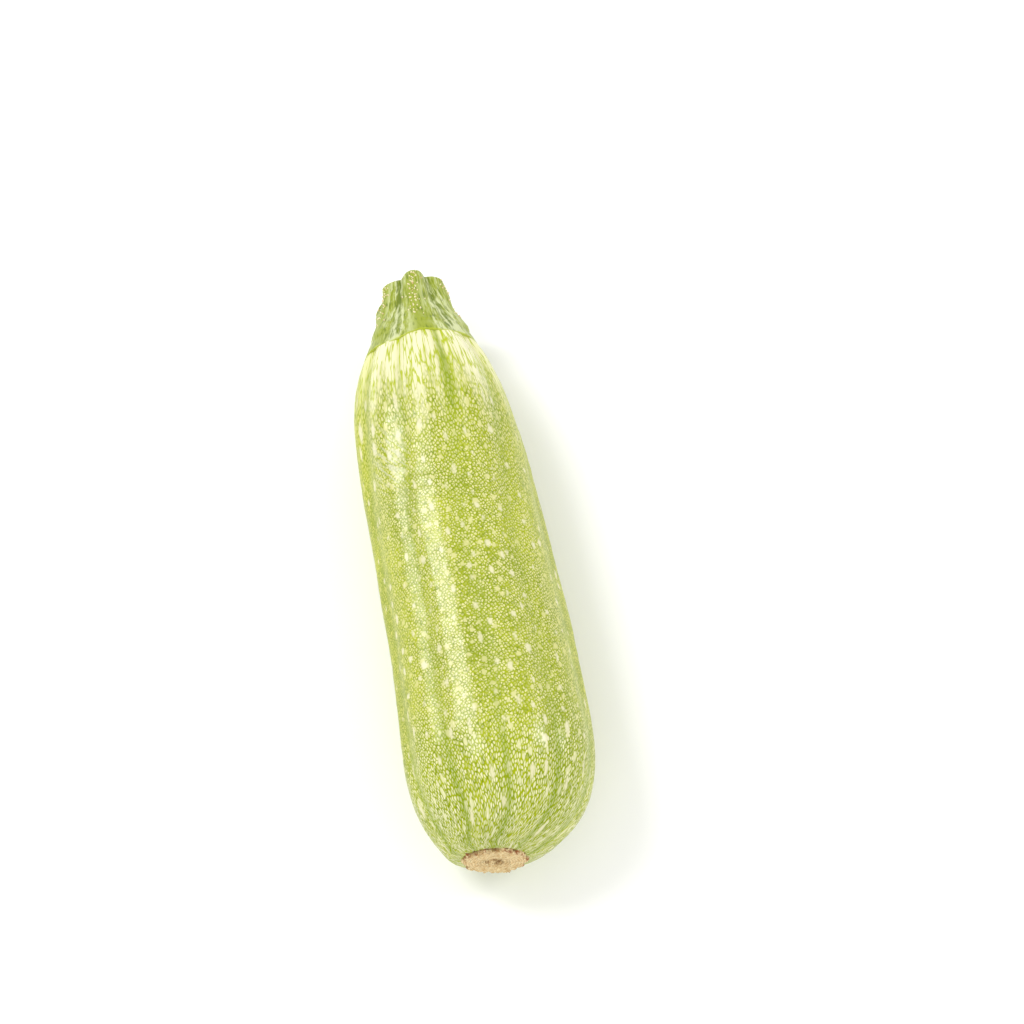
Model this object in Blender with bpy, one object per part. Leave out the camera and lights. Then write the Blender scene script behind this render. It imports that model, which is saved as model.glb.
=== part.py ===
# A light green marrow, cut from its plant and laid on its side.
# The long axis runs along Y: the blossom end is at -Y and the cut stem at +Y. Z is up.
# "Along" is the distance down that axis from the blossom end of the fruit's skin, and an
# angle turns round the axis from +X towards +Z, so 90 degrees is the top of the marrow.
# All lengths are in metres.

import math

import bmesh
import bpy
from mathutils import Vector

# Fruit
FRUIT_LENGTH = 0.157  # blossom end to the edge of the stem's seat
BLOSSOM_RADIUS = 0.026  # where the body is fullest
SHOULDER_RADIUS = 0.0239  # where the shoulder starts to round in
BLOSSOM_CAP_LENGTH = 0.031  # the rounded stretch at the blossom end
SHOULDER_CAP_LENGTH = 0.051  # the rounded stretch at the stem
CAP_SQUARENESS = 2.3  # 2 makes the rounded ends elliptical, more makes them squarer
AXIS_BOW = 0.0038  # sideways bend of the axis, fullest a third of the way along
BOW_LEAD = 0.012  # the bend starts this far before the blossom end
RIB_COUNT = 10
RIB_DEPTH = 0.0007  # crest to groove, along the body
SHOULDER_RIB_DEPTH = 0.0014  # crest to groove, beside the stem
RIB_FADE = 0.010  # the ribs die away over this length at the blossom end
REST_DEPTH = 0.0003  # how much of the belly the rest facet flattens

# Stem
STEM_LENGTH = 0.0166  # seat edge to the middle of the cut
STEM_SEAT_RADIUS = 0.0138  # radius of the fruit at the seat edge
STEM_SEAT_HEIGHT = 0.004  # the fruit domes up this far under the stem
STEM_ROOT_DEPTH = 0.010  # the stem is shaped from this deep in the shoulder, then cut to it
STEM_ROOT_SHARE = 0.8  # its radius there, as a share of the fruit's
BASE_RIDGE_RADIUS = 0.0152  # axis to the top of a ridge, at the seat edge
BASE_VALLEY_RADIUS = 0.0138  # axis to the bottom of a valley, at the seat edge
CUT_RIDGE_RADIUS = 0.0092
CUT_VALLEY_RADIUS = 0.0070
STEM_FLARE = 1.6  # 1 is a straight cone, more keeps the stem slim until it meets the fruit
RIDGE_ANGLES = (17, 89, 147, 199, 262, 318)  # in degrees
CUT_SLANT = 0.25  # rise of the cut face for each metre across it
CUT_HIGH_SIDE = 80  # in degrees

# Blossom scar, the corky base that the dried flower leaves
SCAR_RADIUS = 0.0088
SCAR_PROUD = 0.0010  # how far it stands out of the skin
SCAR_SEAT_DEPTH = 0.0011
SCAR_OFFSET = -0.0037  # it sits this far to one side of the rounded end
SCAR_SLOPE = 0.1  # and turns a little to that side, this much for each metre across
SCAR_HOLD = 8  # more keeps the offset and the slope closer to the scar
SCAR_LOBES = 10
SCAR_LOBE_DEPTH = 0.0009
SCAR_RIM = 0.0004  # rounding of the rim
SCAR_PIT_RADIUS = 0.0026
SCAR_PIT_DEPTH = 0.0005

CLEARANCE = 0.0003  # gap between pieces that touch

# How finely the pieces are divided
FRUIT_SEGMENTS = 60
STEM_SEGMENTS = 72
SCAR_SEGMENTS = 60
BLOSSOM_CAP_RINGS = 10
BODY_RINGS = 8
SHOULDER_CAP_RINGS = 14
DOME_RINGS = 5
STEM_RINGS = 12

SEAT_RADIUS = SCAR_RADIUS + CLEARANCE
SHOULDER_START = FRUIT_LENGTH - SHOULDER_CAP_LENGTH
BODY_LENGTH = SHOULDER_START - BLOSSOM_CAP_LENGTH


def mix(start, end, share):
    return start + (end - start) * share


def cap_radius(full, seat, share):
    """Radius of a rounded end, from full where share is 0 to seat where it is 1."""
    reach = (1 - (seat / full) ** CAP_SQUARENESS) ** (1 / CAP_SQUARENESS)
    return full * (1 - (reach * share) ** CAP_SQUARENESS) ** (1 / CAP_SQUARENESS)


def shoulder_radius(along):
    return cap_radius(SHOULDER_RADIUS, STEM_SEAT_RADIUS, (along - SHOULDER_START) / SHOULDER_CAP_LENGTH)


def axis_point(along):
    """The middle of the cross-section: the axis bows sideways and falls as the body tapers."""
    past_seat = max(along, SCAR_SEAT_DEPTH)
    share = (past_seat + BOW_LEAD) / (FRUIT_LENGTH + BOW_LEAD)
    bow = AXIS_BOW * 27 / 4 * share * (1 - share) ** 2
    fall = (BLOSSOM_RADIUS - SHOULDER_RADIUS) / BODY_LENGTH
    height = BLOSSOM_RADIUS - RIB_DEPTH - REST_DEPTH - fall * (past_seat - BLOSSOM_CAP_LENGTH)
    return Vector((bow, along, height))


def around_axis(along, radius, angle):
    """A point on a ring round the axis. Near the scar the ring is moved and turned with it."""
    across = radius * math.cos(angle)
    near_scar = (BLOSSOM_CAP_LENGTH - along) / (BLOSSOM_CAP_LENGTH - SCAR_SEAT_DEPTH)
    hold = max(0, min(1, near_scar)) ** SCAR_HOLD
    offset = Vector((across + SCAR_OFFSET * hold, -SCAR_SLOPE * across * hold, radius * math.sin(angle)))
    return axis_point(along) + offset


def turned_mesh(name, segments, rings, place):
    """A UV sphere whose rings of vertices are moved to place(along, reach, angle).

    rings holds an (along, reach) pair for each ring, from the blossom side's pole to the other.
    """
    bm = bmesh.new()
    last = len(rings) - 1
    bmesh.ops.create_uvsphere(bm, u_segments=segments, v_segments=last, radius=1)
    for vertex in bm.verts:
        polar = math.acos(max(-1, min(1, vertex.co.z)))
        along, reach = rings[round(polar / math.pi * last)]
        vertex.co = place(along, reach, math.atan2(vertex.co.y, vertex.co.x))
    mesh = bpy.data.meshes.new(name)
    bm.to_mesh(mesh)
    bm.free()
    mesh.shade_smooth()
    mesh.set_sharp_from_angle(angle=math.radians(40))
    return mesh


def fruit_rings():
    """(along, radius) from the middle of the scar's seat to the top of the dome under the stem."""
    rings = [(SCAR_SEAT_DEPTH, 0), (SCAR_SEAT_DEPTH, SEAT_RADIUS / 2), (SCAR_SEAT_DEPTH, SEAT_RADIUS)]
    for i in range(BLOSSOM_CAP_RINGS):
        share = math.cos(math.pi / 2 * i / BLOSSOM_CAP_RINGS)
        rings.append((BLOSSOM_CAP_LENGTH * (1 - share), cap_radius(BLOSSOM_RADIUS, SEAT_RADIUS, share)))
    for i in range(BODY_RINGS):
        share = i / BODY_RINGS
        rings.append((BLOSSOM_CAP_LENGTH + BODY_LENGTH * share, mix(BLOSSOM_RADIUS, SHOULDER_RADIUS, share)))
    for i in range(SHOULDER_CAP_RINGS):
        along = SHOULDER_START + SHOULDER_CAP_LENGTH * math.sin(math.pi / 2 * i / SHOULDER_CAP_RINGS)
        rings.append((along, shoulder_radius(along)))
    for i in range(DOME_RINGS):
        turn = math.pi / 2 * i / DOME_RINGS
        rings.append((FRUIT_LENGTH + STEM_SEAT_HEIGHT * math.sin(turn), STEM_SEAT_RADIUS * math.cos(turn)))
    rings.append((FRUIT_LENGTH + STEM_SEAT_HEIGHT, 0))
    return rings


def place_on_fruit(along, radius, angle):
    """Ten soft ribs with grooves between them, one groove along the top."""
    towards_stem = max(0, min(1, (along - SHOULDER_START) / SHOULDER_CAP_LENGTH))
    depth = mix(RIB_DEPTH, SHOULDER_RIB_DEPTH, towards_stem**2)
    depth *= math.sin(math.pi / 2 * max(0, min(1, along / RIB_FADE)))
    depth *= min(1, radius / STEM_SEAT_RADIUS)
    groove = (1 + math.cos(RIB_COUNT * (angle - math.pi / 2))) / 2
    return around_axis(along, radius - depth * groove, angle)


def stem_rings():
    """(along, share of the outline) from inside the shoulder to the middle of the cut."""
    root = FRUIT_LENGTH - STEM_ROOT_DEPTH
    cut = FRUIT_LENGTH + STEM_LENGTH
    rings = [(root, 0), (root, 0.5)]
    rings += [(mix(root, cut, i / STEM_RINGS), 1) for i in range(STEM_RINGS + 1)]
    return rings + [(cut, 0.5), (cut, 0)]


def ridge_share(angle):
    """1 on top of a ridge and 0 in the middle of the valley beside it."""
    degrees = math.degrees(angle) % 360
    starts = [ridge for ridge in RIDGE_ANGLES if ridge <= degrees] or [RIDGE_ANGLES[-1] - 360]
    ends = [ridge for ridge in RIDGE_ANGLES if ridge > degrees] or [RIDGE_ANGLES[0] + 360]
    share = (degrees - starts[-1]) / (ends[0] - starts[-1])
    return (1 + math.cos(2 * math.pi * share)) / 2


def place_on_stem(along, share, angle):
    """Ridges and valleys that spread where the stem meets the fruit, and a slanting cut."""
    height = along - FRUIT_LENGTH
    if height < 0:
        root = STEM_ROOT_SHARE * shoulder_radius(FRUIT_LENGTH - STEM_ROOT_DEPTH)
        depth = -height / STEM_ROOT_DEPTH
        valley = mix(BASE_VALLEY_RADIUS, root, depth)
        ridge = mix(BASE_RIDGE_RADIUS, root, depth)
    else:
        flare = max(0, 1 - height / STEM_LENGTH) ** STEM_FLARE
        valley = mix(CUT_VALLEY_RADIUS, BASE_VALLEY_RADIUS, flare)
        ridge = mix(CUT_RIDGE_RADIUS, BASE_RIDGE_RADIUS, flare)
    radius = share * mix(valley, ridge, ridge_share(angle))
    rise = CUT_SLANT * radius * math.cos(angle - math.radians(CUT_HIGH_SIDE))
    point = around_axis(along, radius, angle)
    point.y += rise * max(0, height / STEM_LENGTH) ** 2
    return point


def scar_rings():
    """(along, share of the outline) from the middle of the pit to the middle of the back."""
    front = -SCAR_PROUD
    back = SCAR_SEAT_DEPTH - CLEARANCE
    pit = SCAR_PIT_RADIUS / SCAR_RADIUS
    rim = 1 - SCAR_RIM / SCAR_RADIUS
    return [
        (front + SCAR_PIT_DEPTH, 0),
        (front + SCAR_PIT_DEPTH, pit / 2),
        (front, pit),
        (front, (pit + rim) / 2),
        (front, rim),
        (front + SCAR_RIM, 1),
        (back - SCAR_RIM, 1),
        (back, rim),
        (back, 0),
    ]


def place_on_scar(along, share, angle):
    """An uneven outline of ten lobes, inside the seat's circle."""
    notch = (1 - math.cos(SCAR_LOBES * angle)) / 2
    uneven = (3 + math.cos(3 * angle + 1)) / 4
    outline = SCAR_RADIUS - SCAR_LOBE_DEPTH * notch * uneven
    return around_axis(along, share * outline, angle)


def linear_color(hex_code):
    """Linear RGBA of an sRGB hex colour."""
    channels = [int(hex_code[i : i + 2], 16) / 255 for i in (0, 2, 4)]
    return [c / 12.92 if c <= 0.04045 else ((c + 0.055) / 1.055) ** 2.4 for c in channels] + [1]


def give_material(obj, name, hex_code, roughness):
    material = bpy.data.materials.new(name)
    material.use_nodes = True
    shader = material.node_tree.nodes["Principled BSDF"]
    shader.inputs["Base Color"].default_value = linear_color(hex_code)
    shader.inputs["Roughness"].default_value = roughness
    shader.inputs["Metallic"].default_value = 0
    obj.data.materials.append(material)


def add_object(name, mesh, collection, parent):
    obj = bpy.data.objects.new(name, mesh)
    collection.objects.link(obj)
    obj.parent = parent
    return obj


def add_cutter(name, mesh, collection, parent):
    cutter = add_object(name, mesh, collection, parent)
    cutter.hide_render = True
    cutter.display_type = "WIRE"
    return cutter


def cut_away(obj, cutter):
    modifier = obj.modifiers.new(cutter.name, "BOOLEAN")
    modifier.operation = "DIFFERENCE"
    modifier.object = cutter


def grown_mesh(name, mesh, distance):
    """A copy whose surface lies this far outside the original."""
    bm = bmesh.new()
    bm.from_mesh(mesh)
    bm.normal_update()
    for vertex in bm.verts:
        vertex.co += vertex.normal * distance
    grown = bpy.data.meshes.new(name)
    bm.to_mesh(grown)
    bm.free()
    return grown


def ground_mesh(name):
    """A block whose top lies at Z = 0, long and wide enough to reach past the belly."""
    bm = bmesh.new()
    bmesh.ops.create_cube(bm, size=2 * FRUIT_LENGTH)
    bmesh.ops.translate(bm, verts=bm.verts, vec=(0, FRUIT_LENGTH / 2, -FRUIT_LENGTH))
    mesh = bpy.data.meshes.new(name)
    bm.to_mesh(mesh)
    bm.free()
    return mesh


def centre_over_origin(parent, pieces):
    """Moves the marrow so that the middle of its box stands over the origin."""
    bpy.context.view_layer.update()
    graph = bpy.context.evaluated_depsgraph_get()
    corners = []
    for piece in pieces:
        corners += [piece.matrix_world @ Vector(corner) for corner in piece.evaluated_get(graph).bound_box]
    for axis in (0, 1):
        values = [corner[axis] for corner in corners]
        parent.location[axis] = -(min(values) + max(values)) / 2


def main():
    for obj in list(bpy.data.objects):
        bpy.data.objects.remove(obj)
    marrow = bpy.data.collections.new("marrow")
    cutters = bpy.data.collections.new("cutters")
    bpy.context.scene.collection.children.link(marrow)
    bpy.context.scene.collection.children.link(cutters)
    cutters.hide_render = True
    origin = add_object("marrow_origin", None, marrow, None)

    fruit_mesh = turned_mesh("fruit", FRUIT_SEGMENTS, fruit_rings(), place_on_fruit)
    fruit = add_object("fruit", fruit_mesh, marrow, origin)
    cut_away(fruit, add_cutter("ground", ground_mesh("ground"), cutters, origin))
    give_material(fruit, "marrow_skin", "A9BE58", 0.42)

    stem = add_object("stem", turned_mesh("stem", STEM_SEGMENTS, stem_rings(), place_on_stem), marrow, origin)
    seat_mesh = grown_mesh("stem_seat", fruit_mesh, CLEARANCE)
    cut_away(stem, add_cutter("stem_seat", seat_mesh, cutters, origin))
    give_material(stem, "green_stem", "8FAE55", 0.55)

    scar_mesh = turned_mesh("blossom_scar", SCAR_SEGMENTS, scar_rings(), place_on_scar)
    scar = add_object("blossom_scar", scar_mesh, marrow, origin)
    give_material(scar, "cork", "D8BC8C", 0.85)

    centre_over_origin(origin, (fruit, stem, scar))


main()
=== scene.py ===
# Looks of a light green marrow laid on its side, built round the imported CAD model.
# The long axis runs along Y, with the blossom end at -Y and the cut stem at +Y, and Z is up.
# "Along" is the distance down that axis from the blossom end of the skin, and an angle turns
# round the axis from +X towards +Z, so a quarter turn is the top. Lengths are in metres.
import math

import bpy
import numpy as np
from mathutils import Matrix, Vector


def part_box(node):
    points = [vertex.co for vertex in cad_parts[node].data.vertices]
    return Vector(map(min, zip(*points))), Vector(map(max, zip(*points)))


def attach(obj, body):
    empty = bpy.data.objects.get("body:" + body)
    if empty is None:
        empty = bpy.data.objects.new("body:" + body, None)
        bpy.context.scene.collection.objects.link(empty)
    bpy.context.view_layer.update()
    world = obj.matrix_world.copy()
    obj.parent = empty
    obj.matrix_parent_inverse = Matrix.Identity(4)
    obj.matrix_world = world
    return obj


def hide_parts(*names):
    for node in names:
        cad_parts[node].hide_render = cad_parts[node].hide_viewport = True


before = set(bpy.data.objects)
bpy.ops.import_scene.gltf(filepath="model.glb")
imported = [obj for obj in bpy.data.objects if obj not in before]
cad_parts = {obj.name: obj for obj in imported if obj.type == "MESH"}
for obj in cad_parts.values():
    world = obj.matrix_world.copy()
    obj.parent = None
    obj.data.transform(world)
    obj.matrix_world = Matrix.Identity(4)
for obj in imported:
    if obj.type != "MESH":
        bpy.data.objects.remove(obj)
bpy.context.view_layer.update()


# Linear RGBA of an sRGB hex colour
def colour(hexCode):
    channels = np.array([int(hexCode[i:i + 2], 16) / 255 for i in (0, 2, 4)])
    linear = np.where(channels <= 0.04045, channels / 12.92, ((channels + 0.055) / 1.055) ** 2.4)
    return [*linear.tolist(), 1.0]


# Adds a shader node. Each input is a value or another node's socket, and the rest are the node's
# own settings
def addNode(tree, kind, inputs, **settings):
    node = tree.nodes.new("ShaderNode" + kind)
    for name, value in settings.items():
        setattr(node, name, value)
    for socket, value in inputs.items():
        if isinstance(value, bpy.types.NodeSocket):
            tree.links.new(value, node.inputs[socket])
        else:
            node.inputs[socket].default_value = value
    return node


# A material with an empty node tree
def newMaterial(name):
    material = bpy.data.materials.new(name)
    material.use_nodes = True
    material.node_tree.nodes.clear()
    return material, material.node_tree


# A smooth random field, mostly within 1.4 of 0: many plane waves with random directions and
# phases, added up
def rippleField(points, size, seed, waves=24):
    draw = np.random.default_rng(seed)
    directions = draw.normal(size=(waves, 3))
    directions /= np.linalg.norm(directions, axis=1, keepdims=True)
    lengths = size * draw.uniform(0.7, 1.5, (waves, 1))
    phases = draw.uniform(0, 2 * math.pi, waves)
    turns = points @ (directions / lengths).T * 2 * math.pi + phases
    return np.cos(turns).sum(axis=-1) / math.sqrt(waves)


# 0 before start, 1 after end, and a soft S between them
def softStep(value, start, end):
    share = np.clip((value - start) / (end - start), 0, 1)
    return share * share * (3 - 2 * share)


# Values for the corners of gridPiece's faces, from a grid with one column more than the mesh has, so
# that a flat map runs on past the seam. The points that close the ends lie one ring further out
def cornerValues(grid):
    left, right = grid[:, :-1], grid[:, 1:]
    middle = (left + right) / 2
    quads = np.stack([left[:-1], left[1:], right[1:], right[:-1]], axis=2)
    start = np.stack([2 * middle[0] - middle[1], left[0], right[0]], axis=1)
    end = np.stack([2 * middle[-1] - middle[-2], right[-1], left[-1]], axis=1)
    return np.concatenate([part.reshape(-1) for part in (quads, start, end)])


# A closed skin over a grid of points, rings by segments. The first and the last ring each close
# on a point of their own, their rings' mean, so there is no hole at either end. The unwrap lays
# the grid out flat, once round from left to right and the rings from bottom to top
def gridPiece(name, points, material, fields, maps=None):
    rings, segments = points.shape[:2]
    corner = np.arange(rings * segments).reshape(rings, segments)
    beside = np.roll(corner, -1, axis=1)
    quads = np.stack([corner[:-1], corner[1:], beside[1:], beside[:-1]], axis=-1).reshape(-1, 4)
    first, last = rings * segments, rings * segments + 1
    startFan = np.stack([np.full(segments, first), corner[0], beside[0]], axis=-1)
    endFan = np.stack([np.full(segments, last), beside[-1], corner[-1]], axis=-1)
    mesh = bpy.data.meshes.new(name)
    ends = np.stack([points[0].mean(axis=0), points[-1].mean(axis=0)])
    everyPoint = np.concatenate([points.reshape(-1, 3), ends])
    mesh.from_pydata(everyPoint.tolist(), [], quads.tolist() + startFan.tolist() + endFan.tolist())

    across = np.arange(segments + 1)[None, :] / segments
    upward = (np.arange(rings)[:, None] + 1) / (rings + 1)
    unwrap = np.stack(np.broadcast_arrays(across, upward), axis=-1)
    for key, grid in {"OFBake": unwrap, **(maps or {})}.items():
        mesh.uv_layers.new(name=key).data.foreach_set("uv", cornerValues(grid).astype(np.float32))

    for key, values in fields.items():
        wide = values.ndim == 3
        rows = np.broadcast_to(values, (rings, segments, 3) if wide else (rings, segments))
        flat = rows.reshape(rings * segments, -1)
        atEnds = rows[[0, -1]].mean(axis=1).reshape(2, -1)
        closed = np.concatenate([flat, atEnds])
        layer = mesh.attributes.new(key, "FLOAT_VECTOR" if wide else "FLOAT", "POINT")
        layer.data.foreach_set("vector" if wide else "value", closed.astype(np.float32).reshape(-1))

    mesh.shade_smooth()
    mesh.materials.append(material)
    piece = bpy.data.objects.new(name, mesh)
    bpy.context.scene.collection.objects.link(piece)
    return piece


# The marrow's own shape, with the sizes of the CAD model
fruit = {
    "length": 0.157,  # blossom end to the edge of the stem's seat
    "blossomRadius": 0.026,
    "shoulderRadius": 0.0239,
    "blossomCap": 0.031,
    "shoulderCap": 0.051,
    "squareness": 2.3,  # 2 makes the rounded ends elliptical, more makes them squarer
    "bow": 0.0038,
    "bowLead": 0.012,
    "ribs": 10,
    "ribDepth": 0.0007,
    "shoulderRibDepth": 0.0014,
    "ribFade": 0.010,
    "restDepth": 0.0003,
    "seatRadius": 0.0138,  # under the stem
    "seatHeight": 0.004,
    "scarSeatRadius": 0.0091,
    "scarSeatDepth": 0.0011,
    "scarOffset": -0.0037,
    "scarSlope": 0.1,
    "scarHold": 8,
    "skinUnderScar": 0.0068,  # the skin closes in to this radius below the ragged cork
    "grooveWander": 0.045,  # in radians, how far a groove strays to the side
    "grooveWanderSize": 0.07,
    "grooveDrift": 0.22,  # in radians, how far all of them have turned by the stem
    "driftStart": 0.075,  # along, where they start to turn
    "grooveUneven": 0.25,  # the share of its depth that a groove gains and loses
    "grooveUnevenSize": 0.05,
    "ribsEnd": (0.148, 0.156),  # along, where the ribs level out at the stem
    "grooveSharp": 0.8,  # more makes a groove narrower, and as much again is added at both ends
    "sharpAtBlossom": (0.012, 0.045),  # along, where that extra dies away
    "sharpAtStem": (0.115, 0.150),  # and where it comes back
    "lumpHeight": 0.00022,  # slow swellings of the body
    "lumpSize": 0.030,
    "dimpleHeight": 0.00003,  # shallow unevenness that breaks up the gloss
    "dimpleSize": 0.0042,
    "puckerHeight": 0.00022,  # fine folds where the skin is drawn in to the scar
    "puckers": 31,
    "puckerReach": 0.0035,
    "collarHeight": 0.0004,  # the skin swells up against the foot of the stem
    "collarReach": 0.0030,
    "segments": 320,
    "rings": {"seat": 6, "lip": 6, "blossom": 78, "body": 112, "shoulder": 92, "dome": 8},
}
shoulderStart = fruit["length"] - fruit["shoulderCap"]
bodyLength = shoulderStart - fruit["blossomCap"]
top = math.pi / 2


# Radius of a rounded end, a squared-off ellipse, from full where share is 0 to seat where it is 1
def capRadius(full, seat, share):
    power = fruit["squareness"]
    reach = (1 - (seat / full) ** power) ** (1 / power)
    return full * (1 - (reach * share) ** power) ** (1 / power)


# The middle of each cross-section: x follows a lopsided arch, z falls in a straight line
def axisPoint(along):
    pastSeat = np.maximum(along, fruit["scarSeatDepth"])
    share = (pastSeat + fruit["bowLead"]) / (fruit["length"] + fruit["bowLead"])
    bow = fruit["bow"] * 27 / 4 * share * (1 - share) ** 2
    fall = (fruit["blossomRadius"] - fruit["shoulderRadius"]) / bodyLength
    belly = fruit["blossomRadius"] - fruit["ribDepth"] - fruit["restDepth"]
    return bow, belly - fall * (pastSeat - fruit["blossomCap"])


# A ring round the axis, moved and tilted with the scar near the blossom end
def aroundAxis(along, radius, angle):
    across = radius * np.cos(angle)
    nearScar = (fruit["blossomCap"] - along) / (fruit["blossomCap"] - fruit["scarSeatDepth"])
    hold = np.clip(nearScar, 0, 1) ** fruit["scarHold"]
    bow, height = axisPoint(along)
    x = bow + across + fruit["scarOffset"] * hold
    y = along - fruit["scarSlope"] * across * hold
    return np.stack(np.broadcast_arrays(x, y, height + radius * np.sin(angle)), axis=-1)


# Rings as (along, radius): out over the scar's seat, round the blossom cap, down the straight
# taper of the body, round the shoulder, and over the dome that the stem covers
def fruitRings():
    count = fruit["rings"]
    seat, under = fruit["scarSeatRadius"], fruit["skinUnderScar"]
    depth = fruit["scarSeatDepth"]
    share = (np.arange(count["seat"]) + 1) / count["seat"]
    parts = [(depth + 0 * share, under * share)]
    share = np.arange(count["lip"]) / count["lip"]
    parts.append((depth * (1 - softStep(share, 0, 1)) - 0.0001 * np.sin(math.pi * share),
                  under + (seat - under) * (share + 0.02)))
    share = np.cos(top * np.arange(count["blossom"]) / count["blossom"])
    parts.append((fruit["blossomCap"] * (1 - share), capRadius(fruit["blossomRadius"], seat, share)))
    share = np.arange(count["body"]) / count["body"]
    parts.append((fruit["blossomCap"] + bodyLength * share,
                  fruit["blossomRadius"] + (fruit["shoulderRadius"] - fruit["blossomRadius"]) * share))
    share = np.sin(top * np.arange(count["shoulder"]) / count["shoulder"])
    parts.append((shoulderStart + fruit["shoulderCap"] * share,
                  capRadius(fruit["shoulderRadius"], fruit["seatRadius"], share)))
    turn = top * np.arange(count["dome"]) / count["dome"]
    parts.append((fruit["length"] + fruit["seatHeight"] * np.sin(turn), fruit["seatRadius"] * np.cos(turn)))
    return tuple(np.concatenate(side)[:, None] for side in zip(*parts))


# The ten ribs alone, as the CAD model has them, or with everything finer when detail is 1:
# grooves that wander and sharpen towards both ends, slow lumps, dimples, folds round the scar
# and a swollen collar under the stem. All of it changes only the radius
def fruitPoints(detail):
    along, radius = fruitRings()
    angle = np.arange(fruit["segments"])[None, :] * 2 * math.pi / fruit["segments"] - top
    rough = aroundAxis(along, radius, angle)
    towardsStem = np.clip((along - shoulderStart) / fruit["shoulderCap"], 0, 1)
    depth = fruit["ribDepth"] + (fruit["shoulderRibDepth"] - fruit["ribDepth"]) * towardsStem ** 2
    depth = depth * np.sin(top * np.clip(along / fruit["ribFade"], 0, 1))
    depth = depth * np.minimum(1, radius / fruit["seatRadius"])
    wander = rippleField(rough * [0.3, 1, 0.3], fruit["grooveWanderSize"], 11)
    wander = wander * fruit["grooveWander"] * detail
    wander = wander + fruit["grooveDrift"] * softStep(along, fruit["driftStart"], fruit["length"]) * detail
    groove = (1 + np.cos(fruit["ribs"] * (angle + wander - top))) / 2
    ends = 1 - softStep(along, *fruit["sharpAtBlossom"]) + softStep(along, *fruit["sharpAtStem"])
    groove = groove ** (1 + fruit["grooveSharp"] * (1 + ends) * detail)
    uneven = fruit["grooveUneven"] * detail * rippleField(rough, fruit["grooveUnevenSize"], 12)
    radius = radius - depth * groove * (1 + uneven)
    if detail:
        shown = softStep(along, 0.0, fruit["ribFade"]) * (1 - softStep(along, 0.145, fruit["length"]))
        # the ribs end at the stem, at their middle height
        radius = radius + depth * (groove - 0.4) * softStep(along, *fruit["ribsEnd"])
        radius = radius + fruit["lumpHeight"] * rippleField(rough, fruit["lumpSize"], 13) * shown
        radius = radius + fruit["dimpleHeight"] * rippleField(rough, fruit["dimpleSize"], 14, 48) * shown
        fold = np.cos(fruit["puckers"] * angle + 2.5 * rippleField(rough, 0.006, 15))
        drawnIn = np.exp(-((along - 0.0012) / fruit["puckerReach"]) ** 2)
        radius = radius + fruit["puckerHeight"] * fold * drawnIn * (radius > fruit["skinUnderScar"])
        against = np.exp(-((along - fruit["length"]) / fruit["collarReach"]) ** 2)
        radius = radius + fruit["collarHeight"] * against * (along <= fruit["length"])
    points = aroundAxis(along, radius, angle)
    points[..., 2] = np.maximum(points[..., 2], 0)  # flat where it lies
    return points, along, angle, groove


# Moves the marrow's own axes to where the CAD model has them
plain = fruitPoints(0)[0]
fruitLow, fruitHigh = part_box("fruit")
origin = np.array([
    (fruitLow.x + fruitHigh.x) / 2 - (plain[..., 0].min() + plain[..., 0].max()) / 2,
    fruitHigh.y - plain[..., 1].max(),
    0,
])
print("marrow's own origin at", origin.round(5).tolist())

skin = {
    "netDeep": "6E8200",
    "net": "909E02",
    "netPale": "A8B20C",
    "dot": "DCD896",
    # the flank tints are darker and yellower: partly painted shade on the flanks, partly a yellower belly
    "flankShadeDot": "C6C644",
    "dash": "EAE8C2",
    "fleck": "E0DBB2",
    "cream": "ECE8BE",
    "flankShadeCream": "DADB86",
    "scratch": "C8C9A2",
    "shoulderNet": "B0BC1C",
    "vein": "7E940A",
    "dotSpacing": 0.00078,  # the pale dots stand about this far apart
    "meshUneven": 0.0010,  # how far a noise pushes the net about
    "spotSpacing": 0.0025,  # between the middling spots
    "streakWidth": 0.0015,  # between the green streaks of the shoulder
    "flecksAround": 24,  # loose rows of larger flecks
    "fleckEvery": 0.0058,  # and how far apart they are in a row
    "fleckWidth": (0.00055, 0.00118),  # half of one
    "fleckLength": (0.0008, 0.0018),
    "patchSize": 0.011,
    "washSize": 0.0042,  # lengthways runs of paler and greener cells
    "speckleSize": 0.0008,
    "scratchSize": 0.0006,
    "drawnOutAtScar": (0.006, 0.046),  # along, where the pattern goes over from drawn out to plain
    "drawnOutAtStem": (0.092, 0.150),  # and back again towards the stem
    "creamFrom": 0.092,  # along, where the cream of the shoulder starts
    "creamOver": 0.064,  # and the length over which it grows to full
    "veinAtScar": 0.52,  # how green the grooves are there, under the stem and all along
    "veinAtStem": 0.18,
    # all along the body the grooves' green is partly vein colour and partly painted shade in the grooves
    "veinAndShadeAlong": 0.24,
    "bandAngle": 1.33,  # in radians, a green band that runs down the shoulder
    "bandWidth": 0.085,
    "bandStart": (0.110, 0.140),  # along, where it comes in
    "bandGreen": 0.5,
    # how strongly the flank tints come in: partly painted shade on the flanks, partly a yellower belly
    "flankShadeYellow": 0.75,
    "shadedFlank": (0.55, 1.40),  # in radians from the top, where the yellower side comes in
    "belly": (1.6, 2.6),  # and where it weakens again underneath
    "scuffAngle": 2.32,  # in radians, where the skin has been rubbed
    "scuffAlong": 0.113,
    "roughness": 0.20,
    "bumpHeight": 0.00003,
    "tube": 0.024,  # the pattern is laid out on a tube of this radius
}


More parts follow.
